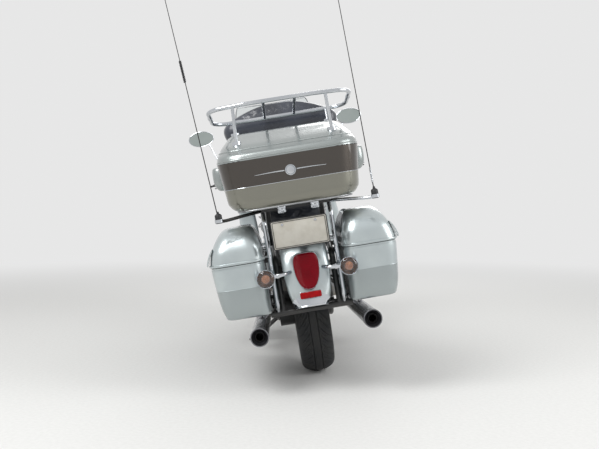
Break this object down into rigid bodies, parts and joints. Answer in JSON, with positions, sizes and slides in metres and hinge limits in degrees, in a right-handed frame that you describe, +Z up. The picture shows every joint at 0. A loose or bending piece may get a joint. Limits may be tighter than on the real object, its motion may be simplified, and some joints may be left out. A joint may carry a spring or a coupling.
{
  "type": "touring cruiser motorcycle",
  "caption": "Touring cruiser motorcycle with fairing, hard saddlebags, top trunk, luggage rack, whip antennas and a V engine, leaning on its side stand.",
  "frame": {"origin": "on the ground below the middle of the whole leaning machine's box", "axes": "+X forwards, +Y to the machine's left, towards which it leans, +Z up from the ground"},
  "size_m": [2.6736, 1.0974, 1.9058],
  "materials": {
    "frame_black": "satin",
    "engine_alloy": "satin",
    "chrome": "polished",
    "black_plastic": "matte",
    "fender_paint": "gloss",
    "red_lens": "gloss",
    "plate_face": "satin",
    "body_paint": "gloss",
    "black_steel": "satin",
    "seat_vinyl": "satin",
    "screen": "gloss",
    "lamp_glass": "gloss",
    "fork_alloy": "satin",
    "rubber": "matte",
    "tyre": "matte",
    "wheel_alloy": "satin",
    "disc_steel": "satin"
  },
  "bodies": {
    "chassis": {"frame_tubes": "frame_black", "engine_block": "engine_alloy", "engine_cylinders": "engine_alloy", "engine_covers": "chrome", "radiator": "black_plastic", "exhaust_left": "chrome", "exhaust_right": "chrome", "swingarm": "frame_black", "rear_fender": "fender_paint", "tail_lamp": "red_lens", "rear_signals": "chrome", "plate": "plate_face", "rear_rails": "chrome", "bag_left": "body_paint", "bag_right": "body_paint", "bag_guards": "chrome", "trunk_shell": "body_paint", "antennas": "black_steel", "seat_pad": "seat_vinyl", "fuel_tank": "body_paint", "side_covers": "body_paint", "fairing": "body_paint", "windscreen": "screen", "front_lamps": "lamp_glass", "dash": "black_plastic", "lower_cowls": "body_paint", "engine_guards": "chrome", "floorboards": "black_steel"},
    "fork": {"fork_legs": "fork_alloy", "front_fender": "fender_paint", "handlebar": "chrome", "grips": "rubber", "mirrors": "chrome"},
    "front_wheel": {"front_tyre": "tyre", "front_rim": "wheel_alloy", "front_discs": "disc_steel"},
    "rear_wheel": {"rear_tyre": "tyre", "rear_rim": "wheel_alloy", "rear_disc": "disc_steel"},
    "side_stand": {"side_stand": "black_steel"},
    "trunk_lid": {"trunk_lid": "body_paint", "luggage_rack": "chrome", "backrest": "seat_vinyl"},
    "bag_lid_left": {"bag_lid_left": "body_paint"},
    "bag_lid_right": {"bag_lid_right": "body_paint"}
  },
  "joints": [
    {"name": "steering", "type": "hinge", "parent": "chassis", "child": "fork", "pos_m": [0.70298, -0.06015, 0.80247], "axis": [-0.4886, 0.1399, 0.8612], "range_deg": [-33, 33]},
    {"name": "front_axle", "type": "hinge", "parent": "fork", "child": "front_wheel", "pos_m": [1.0104, -0.13849, 0.32037], "axis": [0, 0.9871, -0.1604], "continuous": true},
    {"name": "rear_axle", "type": "hinge", "parent": "chassis", "child": "rear_wheel", "pos_m": [-0.6946, -0.13817, 0.32235], "axis": [0, 0.9871, -0.1604], "continuous": true},
    {"name": "stand_fold", "type": "hinge", "parent": "chassis", "child": "side_stand", "pos_m": [0.1354, 0.00311, 0.14438], "axis": [0.047, 0.7072, 0.7055], "range_deg": [0, 100]},
    {"name": "trunk_lid_hinge", "type": "hinge", "parent": "chassis", "child": "trunk_lid", "pos_m": [-0.8156, -0.02296, 1.0313], "axis": [0, 0.9871, -0.1604], "range_deg": [0, 60]},
    {"name": "left_bag_lid_hinge", "type": "hinge", "parent": "chassis", "child": "bag_lid_left", "pos_m": [-0.9946, 0.30715, 0.54404], "axis": [-1, 0, 0], "range_deg": [0, 80]},
    {"name": "right_bag_lid_hinge", "type": "hinge", "parent": "chassis", "child": "bag_lid_right", "pos_m": [-0.9946, -0.49038, 0.67364], "axis": [1, 0, 0], "range_deg": [0, 80]}
  ]
}
